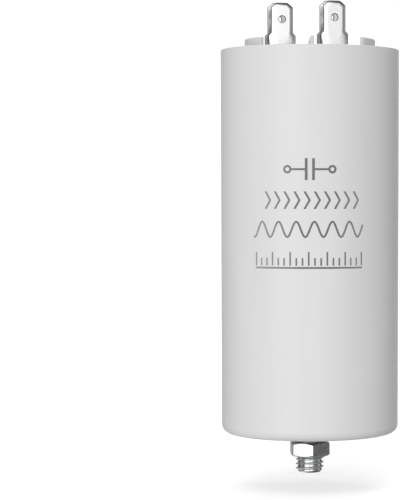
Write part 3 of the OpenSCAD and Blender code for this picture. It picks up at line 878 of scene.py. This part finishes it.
def shrunk(points, d):
    e = np.roll(points, -1, 0) - points
    e /= np.hypot(e[:, 0], e[:, 1])[:, None]
    normal = np.column_stack([-e[:, 1], e[:, 0]])
    before = np.roll(normal, 1, 0)
    mitre = (normal + before) / np.maximum(1 + np.sum(normal * before, 1), 0.4)[:, None]
    return points + mitre * d


def ink_piece(name, shapes):
    """shapes are flat outlines, counter-clockwise, each with a list of holes."""
    s = Shell()
    for outline, holes in shapes:
        outline = dense(outline)
        holes = [dense(h) for h in holes]
        low, mid, high = [], [], []
        for store, d, lift in ((low, 0.0, -0.015), (mid, 0.0, 0.008), (high, 0.03, 0.02)):
            store.append(s.loop(np.column_stack([shrunk(outline, d), np.full(len(outline), lift)])))
            for h in holes:
                store.append(s.loop(np.column_stack([shrunk(h, -d) if d else h, np.full(len(h), lift)])))
        for a, b, c in zip(low, mid, high):
            s.strip(a, b)
            s.strip(b, c)
        s.cap(high[0], high[1:])
        s.cap(low[0], low[1:])
    v = np.array(s.v)
    radius = RB + (RT - RB) * v[:, 1] / CAN_H + v[:, 2]
    angle = v[:, 0] / 24.8 - math.pi / 2
    s.v = np.column_stack([radius * np.cos(angle), radius * np.sin(angle), v[:, 1]]).tolist()
    return piece(name, s, ink, sharp=60, weighted=False)


def rect(x0, z0, x1, z1):
    return [(x0, z0), (x1, z0), (x1, z1), (x0, z1)]


def circle(cx, cz, r, n=28):
    return arc(cx, cz, r, 0, 360 - 360 / n, n)


def stroke(points, w):
    """An open line of points given a width."""
    p = np.array(points, float)
    d = np.gradient(p, axis=0)
    d /= np.hypot(d[:, 0], d[:, 1])[:, None]
    normal = np.column_stack([-d[:, 1], d[:, 0]])
    right, left = p - normal * w / 2, p + normal * w / 2
    return [tuple(q) for q in right] + [tuple(q) for q in left[::-1]]


def prints():
    # first row: the plain sign for a capacitor between two contacts
    z0, z1 = 70.4, 76.3
    zm = (z0 + z1) / 2
    row = [
        (rect(-1.35, z0, -0.60, z1), []), (rect(0.60, z0, 1.35, z1), []),
        (rect(-5.0, zm - 0.28, -1.35, zm + 0.28), []), (rect(1.35, zm - 0.28, 5.0, zm + 0.28), []),
        (circle(-6.1, zm, 1.15), [circle(-6.1, zm, 0.58)[::-1]]), (circle(6.1, zm, 1.15), [circle(6.1, zm, 0.58)[::-1]]),
    ]
    ink_piece("print_row_1", row)
    # second row: chevrons
    z0, z1 = 62.7, 67.4
    zm = (z0 + z1) / 2
    row = []
    for k in range(10):
        x0, w, a = -12.7 + k * 2.74, 0.66, 1.35
        row.append(([(x0, z0), (x0 + w, z0), (x0 + w + a, zm), (x0 + w, z1), (x0, z1), (x0 + a, zm)], []))
    ink_piece("print_row_2", row)
    # third row: a wave
    u = np.linspace(-16.2, 15.2, 520)
    row = [(stroke(np.column_stack([u, 57.2 + 2.05 * np.sin(u * TAU / 4.9)]), 0.56), [])]
    ink_piece("print_row_3", row)
    # fourth row: a plain scale
    z0, z1 = 46.6, 51.1
    row = [(rect(-15.6, z0, 15.0, z0 + 0.5), [])]
    for k in range(19):
        x0 = -15.6 + k * (30.6 - 0.46) / 18
        row.append((rect(x0, z0 + 0.85, x0 + 0.46, z1 if k % 3 == 0 else z0 + 2.9), []))
    ink_piece("print_row_4", row)


prints()

# ---------------------------------------------------------------- floor, backdrop light and lamps
floor_mesh = bpy.data.meshes.new("floor")
FLOOR_Z = -0.0152
size = 6.0
steps = 12
grid_v = [(x, y, FLOOR_Z) for y in np.linspace(-size, size, steps) for x in np.linspace(-size, size, steps)]
grid_f = [(j * steps + i, j * steps + i + 1, (j + 1) * steps + i + 1, (j + 1) * steps + i) for j in range(steps - 1) for i in range(steps - 1)]
floor_mesh.from_pydata(grid_v, [], grid_f)
floor = bpy.data.objects.new("floor", floor_mesh)
scene.collection.objects.link(floor)
floor_mat = bpy.data.materials.new("floor")
floor_mat.use_nodes = True
p = floor_mat.node_tree.nodes["Principled BSDF"]
p.inputs["Base Color"].default_value = (0.577, 0.577, 0.577, 1)
p.inputs["Roughness"].default_value = 0.9
p.inputs["Specular IOR Level"].default_value = 0.0
p.inputs["Emission Color"].default_value = (1, 1, 1, 1)
p.inputs["Emission Strength"].default_value = 0.576
floor_mat.cycles.emission_sampling = "NONE"
floor.data.materials.append(floor_mat)

# A studio all round: how bright it is in each direction, by azimuth (0 is the camera's side, positive to
# its right). The rings hold a value every 12 degrees at eye level and every 24 degrees above and below it.
LEVEL = [
    1.44, 0.75, 0.1, 0.1, 0.04, 0.04, 0.15, 0.42, 0.31, 0.04, 0.07, 1.07, 2.5, 2.74, 1.89,
    1.26, 1.67, 1.86, 0.34, 0.31, 0.26, 0.04, 0.19, 0.61, 0.52, 0.21, 0.04, 0.04, 0.68, 1.28]
UPPER = [2.84, 1.91, 0.52, 0.04, 0.04, 0.04, 1.37, 1.78, 0.81, 0.06, 0.04, 0.04, 0.04, 1.13, 2.61]
LOWER = [0.05, 0.75, 1.1, 0.95, 0.4, 0.05, 0.05, 0.05, 0.05, 0.15, 0.3, 0.45, 0.2, 0.1, 0.05]
TOP, BOTTOM = 0.17, 0.05

world = bpy.data.worlds.new("studio")
scene.world = world
world.use_nodes = True
wt = world.node_tree


def world_maths(kind, a, b=None):
    n = wt.nodes.new("ShaderNodeMath")
    n.operation = kind
    for socket, value in zip(n.inputs, (a, b)):
        if isinstance(value, (int, float)):
            socket.default_value = value
        elif value is not None:
            wt.links.new(value, socket)
    return n.outputs[0]


def world_ramp(name, value, stops):
    n = wt.nodes.new("ShaderNodeValToRGB")
    n.name = name
    n.color_ramp.elements[0].position = stops[0][0]
    n.color_ramp.elements[1].position = stops[-1][0]
    for pos, _ in stops[1:-1]:
        n.color_ramp.elements.new(pos)
    for element, (_, v) in zip(n.color_ramp.elements, stops):
        element.color = (v, v, v, 1)
    wt.links.new(value, n.inputs["Fac"])
    return n.outputs["Color"]


direction = wt.nodes.new("ShaderNodeSeparateXYZ")
wt.links.new(wt.nodes.new("ShaderNodeTexCoord").outputs["Generated"], direction.inputs[0])
azimuth = world_maths("ARCTAN2", direction.outputs["X"], world_maths("MULTIPLY", direction.outputs["Y"], -1.0))
azimuth = world_maths("ADD", world_maths("DIVIDE", azimuth, TAU), 0.5)
elevation = world_maths("ADD", world_maths("DIVIDE", world_maths("ARCSINE", direction.outputs["Z"]), math.pi), 0.5)


def at_height(*stops):
    return [(0.5 + d / 180, v) for d, v in stops]


total = None
for name, values, band in (
    ("level", LEVEL, at_height((-40, 0), (-20, 1), (20, 1), (40, 0))),
    ("upper", UPPER, at_height((20, 0), (40, 1), (55, 1), (75, 0))),
    ("lower", LOWER, at_height((-75, 0), (-55, 1), (-40, 1), (-20, 0))),
):
    around = world_ramp(name, azimuth, [(k / len(values), v) for k, v in enumerate(values + values[:1])])
    term = world_maths("MULTIPLY", around, world_ramp(name + "_band", elevation, band))
    total = term if total is None else world_maths("ADD", total, term)
total = world_maths("ADD", total, world_ramp("top", elevation, at_height((55, 0), (75, TOP), (90, TOP))))
total = world_maths("ADD", total, world_ramp("bottom", elevation, at_height((-90, BOTTOM), (-75, BOTTOM), (-55, 0))))
background = wt.nodes["Background"]
background.inputs["Color"].default_value = (1, 1, 1, 1)
wt.links.new(total, background.inputs["Strength"])
path = wt.nodes.new("ShaderNodeLightPath")
white = wt.nodes.new("ShaderNodeBackground")
white.inputs["Color"].default_value = (1, 1, 1, 1)
white.inputs["Strength"].default_value = 1.1
mix = wt.nodes.new("ShaderNodeMixShader")
wt.links.new(path.outputs["Is Camera Ray"], mix.inputs["Fac"])
wt.links.new(background.outputs[0], mix.inputs[1])
wt.links.new(white.outputs[0], mix.inputs[2])
wt.links.new(mix.outputs[0], wt.nodes["World Output"].inputs["Surface"])

# The floor has a wide light of its own overhead, and throws no light back on the object.
floor.visible_diffuse = False
floor.visible_glossy = False
floor.visible_shadow = False
sun_data = bpy.data.lights.new("overhead", "SUN")
sun_data.energy = 1.01
sun_data.angle = math.radians(50)
sun = bpy.data.objects.new("overhead", sun_data)
sun.rotation_euler = (math.radians(24), 0, 0)
scene.collection.objects.link(sun)
floor_only = bpy.data.collections.new("floor_only")
floor_only.objects.link(floor)
sun.light_linking.receiver_collection = floor_only
